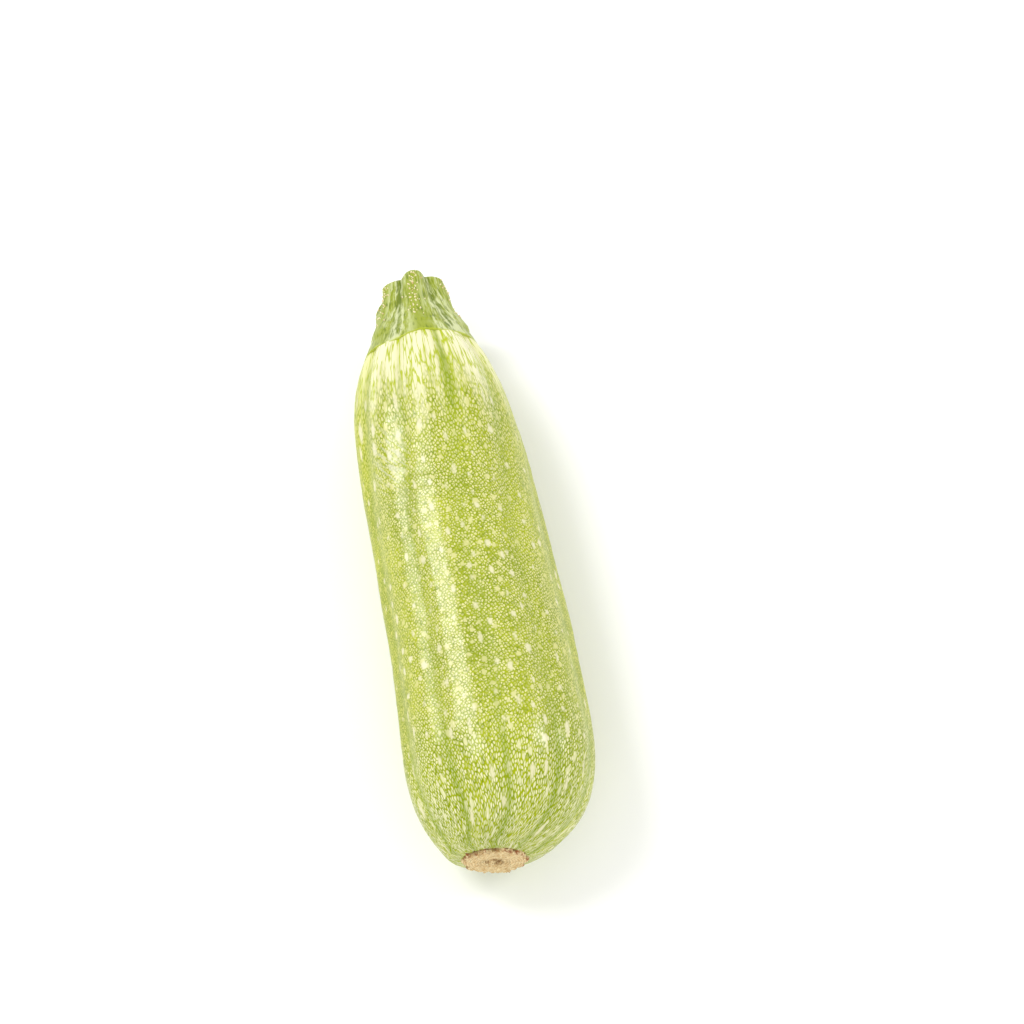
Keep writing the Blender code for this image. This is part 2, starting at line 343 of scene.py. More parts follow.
# Marrow skin, grown: a thin wax layer over green flesh. It gives a satin skin, a yellow-green net
# with cream dots in its meshes and rows of larger flecks, all drawn out into streaks at both ends
def marrowSkin():
    material, tree = newMaterial("grown marrow skin, waxy satin")
    grain = addNode(tree, "Attribute", {}, attribute_name="grain").outputs["Vector"]
    shoulder, side, vein, fleck, blossomEnd, scuff = [
        addNode(tree, "Attribute", {}, attribute_name=name).outputs["Fac"]
        for name in ("shoulder", "side", "vein", "fleck", "blossomEnd", "scuff")]
    flat = addNode(tree, "UVMap", {}, uv_map="skinMap").outputs["UV"]

    # the net's meshes are uneven, so the pattern is pushed about by a fine noise
    push = addNode(tree, "TexNoise", {"Vector": grain, "Scale": 1 / 0.0013, "Detail": 2.0})
    pushed = addNode(tree, "VectorMath", {0: push.outputs["Color"], 1: (0.5, 0.5, 0.5)},
                     operation="SUBTRACT").outputs[0]
    warped = addNode(tree, "VectorMath",
                     {0: pushed, 1: (skin["meshUneven"], skin["meshUneven"], 0.0), 2: flat},
                     operation="MULTIPLY_ADD").outputs[0]
    # turned, or the rows of its lattice would show as rings round the marrow
    turned = addNode(tree, "VectorRotate", {"Vector": warped, "Angle": 0.55},
                     rotation_type="Z_AXIS").outputs[0]

    # the net: thin green lines between cells that differ in paleness from one to the next
    cellSettings = {"Vector": turned, "Scale": 1 / skin["dotSpacing"], "Randomness": 0.75}
    cellEdge = addNode(tree, "TexVoronoi", cellSettings, voronoi_dimensions="2D",
                       feature="DISTANCE_TO_EDGE").outputs["Distance"]
    cells = addNode(tree, "TexVoronoi", cellSettings, voronoi_dimensions="2D")
    cellLuck = addNode(tree, "SeparateColor", {0: cells.outputs["Color"]})
    rounded = addNode(tree, "Math", {0: cells.outputs["Distance"], 1: -0.5, 2: cellEdge},
                      operation="MULTIPLY_ADD").outputs[0]
    cellMask = addNode(tree, "MapRange", {"Value": rounded, "From Min": -0.15, "From Max": 0.15},
                       interpolation_type="SMOOTHSTEP").outputs[0]
    lengthways = addNode(tree, "VectorMath", {0: grain, 1: (1.0, 1.0, 0.10)},
                         operation="MULTIPLY").outputs[0]
    wash = addNode(tree, "TexNoise",
                   {"Vector": lengthways, "Scale": 1 / skin["washSize"], "Detail": 3.0}).outputs["Fac"]
    washed = addNode(tree, "MapRange",
                     {"Value": wash, "From Min": 0.35, "From Max": 0.65, "To Min": 0.0,
                      "To Max": 0.75}).outputs[0]
    least = addNode(tree, "Mix", {0: shoulder, 2: washed, 3: 0.9}).outputs[0]
    paleness = addNode(tree, "MapRange",
                       {"Value": cellLuck.outputs[0], "From Max": 0.75, "To Min": least,
                        "To Max": 1.0}).outputs[0]
    dots = addNode(tree, "Math", {0: cellMask, 1: paleness}, operation="MULTIPLY").outputs[0]

    # middling spots of every size up to a third of their spacing
    spots = addNode(tree, "TexVoronoi", {"Vector": turned, "Scale": 1 / skin["spotSpacing"]},
                    voronoi_dimensions="2D")
    spotLuck = addNode(tree, "SeparateColor", {0: spots.outputs["Color"]}).outputs[0]
    spotReach = addNode(tree, "MapRange",
                        {"Value": spotLuck, "From Min": 0.3, "To Min": 0.0, "To Max": 0.40}).outputs[0]
    spotCore = addNode(tree, "Math", {0: spotReach, 1: 0.16}, operation="SUBTRACT").outputs[0]
    spotMask = addNode(tree, "MapRange",
                       {"Value": spots.outputs["Distance"], "From Min": spotReach, "From Max": spotCore,
                        "To Max": 0.8}, interpolation_type="SMOOTHSTEP").outputs[0]
    dots = addNode(tree, "Math", {0: dots, 1: spotMask}, operation="MAXIMUM").outputs[0]

    # thin green streaks that run up the cream shoulder, where a stretched noise passes its middle
    stretched = addNode(tree, "VectorMath", {0: grain, 1: (1.0, 1.0, 0.55)},
                        operation="MULTIPLY").outputs[0]
    streakNoise = addNode(tree, "TexNoise",
                          {"Vector": stretched, "Scale": 1 / skin["streakWidth"],
                           "Detail": 2.0}).outputs["Fac"]
    streakAway = addNode(tree, "Math", {0: streakNoise, 1: 0.5}, operation="SUBTRACT").outputs[0]
    streakAway = addNode(tree, "Math", {0: streakAway}, operation="ABSOLUTE").outputs[0]
    streaks = addNode(tree, "MapRange",
                      {"Value": streakAway, "From Min": 0.065, "From Max": 0.01}).outputs[0]

    # larger flecks with frayed edges
    fray = addNode(tree, "TexNoise", {"Vector": grain, "Scale": 1 / 0.0009, "Detail": 2.0}).outputs["Fac"]
    frayed = addNode(tree, "Math", {0: fray, 1: 0.6, 2: fleck}, operation="MULTIPLY_ADD").outputs[0]
    flecks = addNode(tree, "MapRange",
                     {"Value": frayed, "From Min": 0.60, "From Max": 1.05, "To Max": 0.90},
                     interpolation_type="SMOOTHSTEP").outputs[0]

    # slow changes of the green from patch to patch
    patches = addNode(tree, "TexNoise",
                      {"Vector": grain, "Scale": 1 / skin["patchSize"], "Detail": 3.0}).outputs["Fac"]
    speckle = addNode(tree, "TexNoise",
                      {"Vector": grain, "Scale": 1 / skin["speckleSize"], "Detail": 2.0}).outputs["Fac"]
    patchShare = addNode(tree, "MapRange",
                         {"Value": patches, "From Min": 0.35, "From Max": 0.65}).outputs[0]
    deepShare = addNode(tree, "MapRange",
                        {"Value": speckle, "From Min": 0.45, "From Max": 0.70, "To Max": 0.8}).outputs[0]
    net = colour(skin["net"])
    for share, tint in ((patchShare, "netPale"), (deepShare, "netDeep"), (vein, "vein")):
        net = addNode(tree, "Mix", {0: share, 6: net, 7: colour(skin[tint])}, data_type="RGBA").outputs[2]

    # the dots lie thinner over a vein, and on the flanks they are darker and yellower: partly painted shade,
    # partly a yellower belly
    overVein = addNode(tree, "MapRange", {"Value": vein, "To Min": 1.0, "To Max": 0.2}).outputs[0]
    dots, flecks = [addNode(tree, "Math", {0: mask, 1: overVein}, operation="MULTIPLY").outputs[0]
                    for mask in (dots, flecks)]
    whiter = addNode(tree, "Math", {0: blossomEnd, 1: 0.7}, operation="MULTIPLY").outputs[0]
    dotTint = colour(skin["dot"])
    for share, tint in ((side, "flankShadeDot"), (whiter, "dash")):
        dotTint = addNode(tree, "Mix", {0: share, 6: dotTint, 7: colour(skin[tint])},
                          data_type="RGBA").outputs[2]
    painted = addNode(tree, "Mix", {0: dots, 6: net, 7: dotTint}, data_type="RGBA").outputs[2]

    # the streaked cream reaches down from the stem in tongues, less far on the sides
    streaky = addNode(tree, "Math", {0: vein, 1: 0.7, 2: streaks}, operation="MULTIPLY_ADD").outputs[0]
    # the cream is darker and yellower on the flanks, partly painted shade
    creamTint = addNode(tree, "Mix", {0: side, 6: colour(skin["cream"]), 7: colour(skin["flankShadeCream"])},
                        data_type="RGBA").outputs[2]
    streaked = addNode(tree, "Mix", {0: streaky, 6: creamTint, 7: colour(skin["shoulderNet"])},
                       data_type="RGBA").outputs[2]
    tongues = addNode(tree, "Math", {0: wash, 1: 1.1, 2: shoulder}, operation="MULTIPLY_ADD").outputs[0]
    tongues = addNode(tree, "Math", {0: side, 1: -0.25, 2: tongues}, operation="MULTIPLY_ADD").outputs[0]
    tongues = addNode(tree, "MapRange", {"Value": tongues, "From Min": 0.80, "From Max": 1.25},
                      interpolation_type="SMOOTHSTEP").outputs[0]

    # fine slanting scratches where the shoulder has been rubbed
    slant = addNode(tree, "VectorRotate", {"Vector": flat, "Angle": 0.9},
                    rotation_type="Z_AXIS").outputs[0]
    slant = addNode(tree, "VectorMath", {0: slant, 1: (1.0, 0.10, 1.0)}, operation="MULTIPLY").outputs[0]
    scratches = addNode(tree, "TexNoise",
                        {"Vector": slant, "Scale": 1 / skin["scratchSize"], "Detail": 2.0},
                        noise_dimensions="2D").outputs["Fac"]
    scratches = addNode(tree, "MapRange",
                        {"Value": scratches, "From Min": 0.48, "From Max": 0.62,
                         "To Max": 0.75}).outputs[0]
    scratches = addNode(tree, "Math", {0: scratches, 1: scuff}, operation="MULTIPLY").outputs[0]
    for share, tint in ((tongues, streaked), (flecks, colour(skin["fleck"])),
                        (scratches, colour(skin["scratch"]))):
        painted = addNode(tree, "Mix", {0: share, 6: painted, 7: tint}, data_type="RGBA").outputs[2]

    # the wax shines less on the sides and by the scar
    gloss = addNode(tree, "MapRange",
                    {"Value": speckle, "To Min": skin["roughness"] - 0.05,
                     "To Max": skin["roughness"] + 0.10}).outputs[0]
    gloss = addNode(tree, "Math", {0: side, 1: 0.18, 2: gloss}, operation="MULTIPLY_ADD").outputs[0]
    relief = addNode(tree, "Math", {0: dots, 1: speckle}, operation="ADD").outputs[0]
    bump = addNode(tree, "Bump",
                   {"Height": relief, "Distance": skin["bumpHeight"], "Strength": 0.5}).outputs[0]
    dull = addNode(tree, "Math", {0: side, 1: blossomEnd}, operation="ADD").outputs[0]
    shine = addNode(tree, "MapRange", {"Value": dull, "To Min": 0.55, "To Max": 0.15}).outputs[0]
    shader = addNode(tree, "BsdfPrincipled",
                     {"Base Color": painted, "Roughness": gloss, "Normal": bump, "IOR": 1.45,
                      "Specular IOR Level": shine})
    addNode(tree, "OutputMaterial", {0: shader.outputs[0]})
    return material


# How far along the pattern each ring lies: the surface's own length, run slower towards both ends,
# which draws the pattern out there. Across, the pattern narrows with the skin
def patternRun(points, nearScar, nearStem):
    steps = np.linalg.norm(np.diff(points, axis=0), axis=-1).mean(axis=1)
    pace = (0.90 - 0.52 * nearScar - 0.68 * nearStem)[:, 0]
    return np.concatenate([[0], np.cumsum(steps * (pace[1:] + pace[:-1]) / 2)])[:, None]


# Soft oval bumps of 1 at each fleck: loose rows along the marrow, each fleck a bell across
# times a bell along
def fleckField(angle, run):
    draw = np.random.default_rng(17)
    field = np.zeros(np.broadcast_shapes(angle.shape, run.shape))
    for row in range(skin["flecksAround"]):
        place = draw.uniform(0, skin["fleckEvery"])
        while place < run.max():
            middle = (row + draw.normal(0, 0.22)) * 2 * math.pi / skin["flecksAround"]
            away = np.abs(np.mod(angle - middle + math.pi, 2 * math.pi) - math.pi) * skin["tube"]
            width, length = draw.uniform(*skin["fleckWidth"]), draw.uniform(*skin["fleckLength"])
            bump = np.exp(-(away / width) ** 2) * np.exp(-((run - place) / length) ** 2)
            field = np.maximum(field, bump * draw.uniform(0.55, 1.0))
            place += skin["fleckEvery"] * draw.uniform(0.45, 1.55)
    return field


# The skin's fields: veins lie in the grooves, darkest by the scar, with painted shade in the grooves all
# along; the cream, the darker and yellower sides (partly painted shade, partly a yellower belly) and the
# rubbed place are soft steps and bells of the place along and the angle
def makeFruit():
    points, along, angle, groove = fruitPoints(1)
    nearScar = 1 - softStep(along, *skin["drawnOutAtScar"])
    nearStem = softStep(along, *skin["drawnOutAtStem"])
    run = patternRun(points, nearScar, nearStem)
    tube = skin["tube"]
    grain = np.stack(np.broadcast_arrays(tube * np.cos(angle), tube * np.sin(angle), run), axis=-1)
    onePast = np.concatenate([angle, angle[:, :1] + 2 * math.pi], axis=1)
    skinMap = np.stack(np.broadcast_arrays(tube * (onePast - top) * (1 + 0.35 * nearScar), run), axis=-1)
    crease = groove ** 10 * skin["veinAtScar"] * nearScar ** 0.7
    crease = crease + groove ** 6 * skin["veinAtStem"] * nearStem
    # greener all along each groove: partly vein colour, partly painted shade in the grooves
    grooveShadeStrip = groove ** 3 * skin["veinAndShadeAlong"]
    band = np.exp(-((angle - skin["bandAngle"]) / skin["bandWidth"]) ** 2)
    band = band * softStep(along, *skin["bandStart"]) * skin["bandGreen"]
    vein = np.clip(crease + grooveShadeStrip + band, 0, 1)
    pale = np.clip((along - skin["creamFrom"]) / skin["creamOver"], 0, 1) ** 1.8 * (1 - 0.9 * band)
    away = np.abs(angle - top)
    # darker, yellower flanks: partly painted shade, partly a yellower belly
    shadedFlank = skin["flankShadeYellow"] * softStep(away, *skin["shadedFlank"]) * (1 - 0.4 * softStep(away, *skin["belly"]))
    scuff = np.exp(-((angle - skin["scuffAngle"]) / 0.26) ** 2 - ((along - skin["scuffAlong"]) / 0.011) ** 2)
    fields = {
        "grain": grain,
        "vein": vein,
        "shoulder": pale,
        "side": shadedFlank * (1 - 0.7 * nearScar),
        "blossomEnd": nearScar,
        "scuff": scuff,
        "fleck": fleckField(angle, run),
    }
    piece = gridPiece("marrow_skin", points + origin, marrowSkin(), fields, {"skinMap": skinMap})
    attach(piece, "root")
    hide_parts("fruit")
    print("fruit made,", len(piece.data.polygons), "faces")


# The cut stem, with the sizes of the CAD model but for its foot
stem = {
    "length": 0.0166,
    "rootDepth": 0.010,
    "rootShare": 0.65,
    "baseRidge": 0.0148,
    "baseValley": 0.0139,
    "footAngles": (20, 60, 89, 120, 150, 185, 262, 318),  # in degrees
    "footDips": (0.0050, 0.0045, 0.0038, 0.0056, 0.0046, 0.0048, 0.003, 0.003),  # how far it runs down there
    "footProud": 0.00035,  # how far the foot stands off the shoulder
    "footTurn": 0.0005,  # over this depth its edge turns in under the skin
    "cutRidge": 0.0092,
    "cutValley": 0.0066,
    "flare": 1.6,
    "ridgeAngles": (17, 89, 147, 199, 262, 318),  # in degrees
    "ridgeWidth": 0.75,  # under 1 is a broad ridge with a narrow valley
    "ridgeFoot": (1.02, 0.97, 1.01, 1.03, 1.0, 1.0),  # how far out each ridge stands on the shoulder
    "ridgeReach": (1.0, 1.0, 1.0, 1.28, 1.05, 0.95),  # and how far out it ends at the cut
    "ridgeDrop": (0.0, 0.0, 0.0004, 0.0028, 0.001, 0.0),  # and how far short of the cut's middle
    "cutSlant": 0.25,
    "cutHighSide": 80,  # in degrees
    "edge": 0.0005,  # rounding of the cut's edge
    "hollow": 0.0007,  # the cut has dried in by this much
    "fibreHeight": 0.00007,  # raised strings that run up the stem
    "fibres": 47,
    "lumpHeight": 0.0002,
    "prickles": 190,
    "pricklesOnRidge": (2, 8, 4, 3, 2, 2),  # how they are shared out among the ridges
    "prickleHeight": 0.00036,
    "prickleRadius": 0.00023,
    "prickleSizes": (0.6, 1.25),  # from the smallest to the largest, as shares of that
    "prickleStray": 6,  # in degrees, how far they stray from the crest
    "prickleLean": 0.35,
    "segments": 288,
    "rings": {"root": 6, "side": 120, "edge": 7, "face": 34},
    # dark green of the fine fibres, and also the painted shade low in the valleys
    "darkFibreAndValleyShade": "5C7010",
    "green": "8E9C26",
    "fresh": "A0AB38",
    "pale": "D8DDA8",
    "foot": "B4C032",
    "blotchSize": 0.0016,
    "stringSize": 0.0006,
    "vesselSpacing": 0.0009,  # coarser than real ones, or they would not show
    "cutGreen": "9FB32E",
    "cutPale": "CBD77E",
    "prickle": "F2E6BC",
    "prickleBrown": "D2AC74",
    "roughness": 0.46,
}


# 1 on top of a ridge, 0 in the middle of the valley beside it, a cosine between them
def ridgeShare(angle):
    ridges = np.radians(stem["ridgeAngles"])
    around = np.concatenate([[ridges[-1] - 2 * math.pi], ridges, [ridges[0] + 2 * math.pi]])
    turned = np.mod(angle, 2 * math.pi)
    after = np.searchsorted(around, turned, side="right")
    share = (turned - around[after - 1]) / (around[after] - around[after - 1])
    return ((1 + np.cos(2 * math.pi * share)) / 2) ** stem["ridgeWidth"]


# Up the stem's side the radius goes from valley to ridge with ridgeShare, and both flare out
# towards the foot with a power of the height. Below, the foot lies on the shoulder like a skirt with
# an uneven hem and then turns in. The cut tilts by moving points along the axis
def stemSurface(height, share, angle, sink=0):
    risen = np.clip(height / stem["length"], 0, 1)
    flare = np.clip(1 - risen, 0, 1) ** stem["flare"]
    dip = np.interp(np.degrees(angle), stem["footAngles"], stem["footDips"], period=360)
    past = -height - dip
    onShoulder = capRadius(fruit["shoulderRadius"], fruit["seatRadius"],
                           1 + np.minimum(height, 0) / fruit["shoulderCap"])
    skirt = onShoulder - 0.4 * fruit["shoulderRibDepth"] + stem["footProud"]
    skirt = skirt + fruit["collarHeight"] * np.exp(-(np.minimum(height, 0) / fruit["collarReach"]) ** 2)
    root = stem["rootShare"] * capRadius(
        fruit["shoulderRadius"], fruit["seatRadius"], 1 - stem["rootDepth"] / fruit["shoulderCap"])
    valley = stem["cutValley"] + (stem["baseValley"] - stem["cutValley"]) * flare
    ridge = stem["cutRidge"] + (stem["baseRidge"] - stem["cutRidge"]) * flare
    crest = ridgeShare(angle)
    ridges = np.array(stem["ridgeAngles"], float)
    reach = np.interp(np.degrees(angle), ridges, stem["ridgeReach"], period=360)
    drop = np.interp(np.degrees(angle), ridges, stem["ridgeDrop"], period=360)
    foot = np.interp(np.degrees(angle), ridges, stem["ridgeFoot"], period=360)
    ridge = ridge * (1 + (reach - 1) * risen ** 1.5 + (foot - 1) * (1 - risen))
    radius = valley + (ridge - valley) * crest
    blend = softStep(-height, -0.0012, 0.0001)
    radius = radius + (np.maximum(skirt, radius - 0.0004) - radius) * blend
    radius = radius + (root - radius) * softStep(past, 0, stem["footTurn"])
    tube = np.stack(np.broadcast_arrays(0.012 * np.cos(angle), height, 0.012 * np.sin(angle)), axis=-1)
    strings = np.cos(stem["fibres"] * angle + 2.2 * rippleField(tube * [1, 0.35, 1], 0.006, 21))
    strength = 0.5 + 0.5 * rippleField(tube * [1, 0.4, 1], 0.004, 22)
    radius = radius + stem["fibreHeight"] * strings * strength
    radius = radius + stem["lumpHeight"] * rippleField(tube, 0.007, 23)
    radius = share * radius
    rise = stem["cutSlant"] * radius * np.cos(angle - math.radians(stem["cutHighSide"])) * risen ** 2
    points = aroundAxis(fruit["length"] + height, radius, angle)
    points[..., 1] += rise - sink - drop * crest * risen ** 3
    return points, crest, tube, past


# Rings as (height, share of the outline, sink): out under the shoulder, up the side, round the
# edge of the cut on a quarter circle, and in over a face that sinks towards its middle
def stemRings():
    count = stem["rings"]
    grow = (np.arange(count["root"]) + 1) / (count["root"] + 1)
    parts = [(-stem["rootDepth"] + 0 * grow, grow, 0 * grow)]
    share = np.arange(count["side"]) / count["side"]
    side = -stem["rootDepth"] + (stem["length"] + stem["rootDepth"] - stem["edge"]) * share
    parts.append((side, 1 + 0 * share, 0 * share))
    turn = top * np.arange(count["edge"]) / count["edge"]
    curve = stem["edge"] / stem["cutRidge"]
    parts.append((stem["length"] - stem["edge"] * (1 - np.sin(turn)),
                  1 - curve * (1 - np.cos(turn)), 0 * turn))
    inward = (1 - curve) * (1 - np.arange(count["face"]) / count["face"])
    parts.append((stem["length"] + 0 * inward, inward, stem["hollow"] * (1 - (inward / (1 - curve)) ** 2)))
    return tuple(np.concatenate(column)[:, None] for column in zip(*parts))


# Fresh marrow stem, cut: fibrous and finely hairy. It gives a satin green with pale lengthways
# blotches in the hollows, darker green low in the valleys as painted shade, and a wet bright green cut
def stemGreen():
    material, tree = newMaterial("fresh cut marrow stem, fibrous")
    tube = addNode(tree, "Attribute", {}, attribute_name="tube").outputs["Vector"]
    crest, cut, foot = [addNode(tree, "Attribute", {}, attribute_name=name).outputs["Fac"]
                        for name in ("crest", "cutFace", "foot")]

    slow = addNode(tree, "VectorMath", {0: tube, 1: (1.0, 0.22, 1.0)}, operation="MULTIPLY").outputs[0]
    blotch = addNode(tree, "TexNoise",
                     {"Vector": slow, "Scale": 1 / stem["blotchSize"], "Detail": 4.0,
                      "Roughness": 0.65}).outputs["Fac"]
    fine = addNode(tree, "TexNoise",
                   {"Vector": slow, "Scale": 1 / stem["stringSize"], "Detail": 2.0}).outputs["Fac"]
    broad = addNode(tree, "TexNoise", {"Vector": tube, "Scale": 1 / 0.006, "Detail": 2.0}).outputs["Fac"]

    # painted shade: darker green low in the valleys between the ridges
    valley = addNode(tree, "MapRange",
                     {"Value": crest, "From Min": 0.0, "From Max": 0.35, "To Min": 1.0, "To Max": 0.0},
                     interpolation_type="SMOOTHSTEP").outputs[0]
    deepShare = addNode(tree, "Math", {0: valley, 1: 0.65}, operation="MULTIPLY").outputs[0]
    paleShare = addNode(tree, "MapRange", {"Value": blotch, "From Min": 0.46, "From Max": 0.57},
                        interpolation_type="SMOOTHSTEP").outputs[0]
    slope = addNode(tree, "MapRange",
                    {"Value": crest, "From Min": 0.55, "From Max": 0.98, "To Min": 0.80,
                     "To Max": 0.10}).outputs[0]
    paleShare = addNode(tree, "Math", {0: paleShare, 1: slope}, operation="MULTIPLY").outputs[0]
    fineShare = addNode(tree, "MapRange",
                        {"Value": fine, "From Min": 0.52, "From Max": 0.66, "To Max": 0.55}).outputs[0]
    fineShare = addNode(tree, "Math", {0: fineShare, 1: slope}, operation="MULTIPLY").outputs[0]
    inkShare = addNode(tree, "MapRange",
                       {"Value": fine, "From Min": 0.46, "From Max": 0.34, "To Max": 0.7}).outputs[0]
    body = colour(stem["green"])
    for layer, tint in ((broad, "fresh"), (deepShare, "darkFibreAndValleyShade"), (paleShare, "pale"),
                        (inkShare, "darkFibreAndValleyShade"), (fineShare, "pale"), (foot, "foot")):
        body = addNode(tree, "Mix", {0: layer, 6: body, 7: colour(stem[tint])},
                       data_type="RGBA").outputs[2]

    # the cut shows the ends of the vessels as light dots
    vessels = addNode(tree, "TexVoronoi",
                      {"Vector": addNode(tree, "TexCoord", {}).outputs["Object"],
                       "Scale": 1 / stem["vesselSpacing"], "Randomness": 0.9})
    pores = addNode(tree, "MapRange",
                    {"Value": vessels.outputs["Distance"], "From Min": 0.45, "From Max": 0.1}).outputs[0]
    flesh = addNode(tree, "Mix", {0: pores, 6: colour(stem["cutGreen"]), 7: colour(stem["cutPale"])},
                    data_type="RGBA").outputs[2]
    body = addNode(tree, "Mix", {0: cut, 6: body, 7: flesh}, data_type="RGBA").outputs[2]

    relief = addNode(tree, "Math", {0: fine, 1: blotch}, operation="ADD").outputs[0]
    bump = addNode(tree, "Bump", {"Height": relief, "Distance": 0.00012, "Strength": 0.6}).outputs[0]
    gloss = addNode(tree, "MapRange",
                    {"Value": fine, "To Min": stem["roughness"] - 0.08,
                     "To Max": stem["roughness"] + 0.12}).outputs[0]
    shader = addNode(tree, "BsdfPrincipled",
                     {"Base Color": body, "Roughness": gloss, "Normal": bump, "IOR": 1.42})
    addNode(tree, "OutputMaterial", {0: shader.outputs[0]})
    return material


# The pattern runs on a plain tube, so that it follows the stem's own length and turn
def makeStem():
    height, share, sink = stemRings()
    angle = np.arange(stem["segments"])[None, :] * 2 * math.pi / stem["segments"] - top
    points, crest, tube, past = stemSurface(height, share, angle, sink)
    fields = {
        "tube": tube,
        "crest": crest,
        "cutFace": softStep(height, stem["length"] - 0.4 * stem["edge"], stem["length"]),
        "foot": softStep(past, -0.0007, -0.0001) * 0.85,
    }
    piece = gridPiece("stem_body", points + origin, stemGreen(), fields)
    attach(piece, "root")
    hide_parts("stem")
    print("stem made,", len(piece.data.polygons), "faces")


# Dry prickle bases on a marrow stem, grown: tiny hard cones, cream with a brown tip
def prickleCream():
    material, tree = newMaterial("dry stem prickles, horny")
    place = addNode(tree, "TexCoord", {}).outputs["Object"]
    mottle = addNode(tree, "TexNoise",
                     {"Vector": place, "Scale": 1 / 0.0011, "Detail": 2.0}).outputs["Fac"]
    share = addNode(tree, "MapRange", {"Value": mottle, "From Min": 0.5, "From Max": 0.7}).outputs[0]
    tint = addNode(tree, "Mix", {0: share, 6: colour(stem["prickle"]), 7: colour(stem["prickleBrown"])},
                   data_type="RGBA").outputs[2]
    shader = addNode(tree, "BsdfPrincipled", {"Base Color": tint, "Roughness": 0.5})
    addNode(tree, "OutputMaterial", {0: shader.outputs[0]})
    return material


# Cones with a rounded shoulder: three rings of six points and a tip, set on the ridges' crests.
# Each stands on the surface's own normal, taken from two nearby points of the stem
def makePrickles():
    draw = np.random.default_rng(31)
    count = stem["prickles"]
    weights = np.array(stem["pricklesOnRidge"], float)
    which = draw.choice(len(weights), count, p=weights / weights.sum())
    angle = np.radians(np.array(stem["ridgeAngles"])[which] + draw.normal(0, stem["prickleStray"], count))
    height = stem["length"] * (0.06 + 0.91 * draw.uniform(0, 1, count) ** 0.7)
    step = 1e-4
    place = stemSurface(height, 1, angle)[0]
    upward = stemSurface(height + step, 1, angle)[0] - place
    sideways = stemSurface(height, 1, angle + 0.01)[0] - place
    out = np.cross(upward, sideways)
    out /= np.linalg.norm(out, axis=1, keepdims=True)
    upward /= np.linalg.norm(upward, axis=1, keepdims=True)
    sideways = np.cross(upward, out)
    size = draw.uniform(*stem["prickleSizes"], count)[:, None, None]
    turn = np.arange(6) * math.pi / 3
    ringReach = np.array([1.0, 0.85, 0.4])
    ringRise = np.array([-0.25, 0.35, 0.8])
    flatX = np.append((ringReach[:, None] * np.cos(turn)).ravel(), 0) * stem["prickleRadius"]
    flatY = np.append((ringReach[:, None] * np.sin(turn)).ravel(), 0) * stem["prickleRadius"]
    rise = np.append(np.repeat(ringRise, 6), 1.0) * stem["prickleHeight"]
    lean = stem["prickleLean"] * np.clip(rise, 0, None)
    shape = (sideways[:, None] * flatX[None, :, None] + upward[:, None] * (flatY + lean)[None, :, None]
             + out[:, None] * rise[None, :, None])
    points = (place[:, None] + size * shape + origin).reshape(-1, 3)
    around = np.arange(6)
    nextOne = (around + 1) % 6
    walls = np.concatenate([
        np.stack([around + r, nextOne + r, nextOne + r + 6, around + r + 6], axis=-1) for r in (0, 6)])
    tips = np.stack([around + 12, nextOne + 12, np.full(6, 18)], axis=-1)
    base = around[::-1][None]
    starts = np.arange(count)[:, None, None] * 19
    faces = [row for part in (walls, tips, base)
             for row in (part[None] + starts).reshape(-1, part.shape[1]).tolist()]
    mesh = bpy.data.meshes.new("stem_prickles")
    mesh.from_pydata(points.tolist(), [], faces)
    mesh.shade_smooth()
    mesh.materials.append(prickleCream())
    piece = bpy.data.objects.new("stem_prickles", mesh)
    bpy.context.scene.collection.objects.link(piece)
    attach(piece, "root")
    print("prickles made,", count)


# The corky base that the flower left
scar = {
    "radius": 0.0088,
    "proud": 0.0010,
    "backDepth": 0.0008,
    "lobes": 10,
    "lobeDepth": 0.0009,
    "ragged": 0.00040,
    "rim": 0.0007,
    "pitRadius": 0.0031,
    "pitDepth": 0.0006,
    "knotHeight": 0.00030,
    "knotReach": 0.0026,
    "lipHeight": 0.00018,
    "fibreHeight": 0.00008,
    "fibreSpacing": 0.00062,
    "ringSpacing": 0.00075,  # of the fine rings in its colour
    "mottleSize": 0.0012,
    "gritSize": 0.00045,
    "crackSize": 0.0018,
    "segments": 300,
    "rings": {"front": 70, "rim": 8, "wall": 5, "back": 10},
    "cork": "DDB87A",
    "corkPale": "F3E0AC",
    "corkDark": "9C7038",
    "knot": "84602C",
    "rimBrown": "74421F",
    "rimRed": "B87848",
    "roughness": 0.82,
}


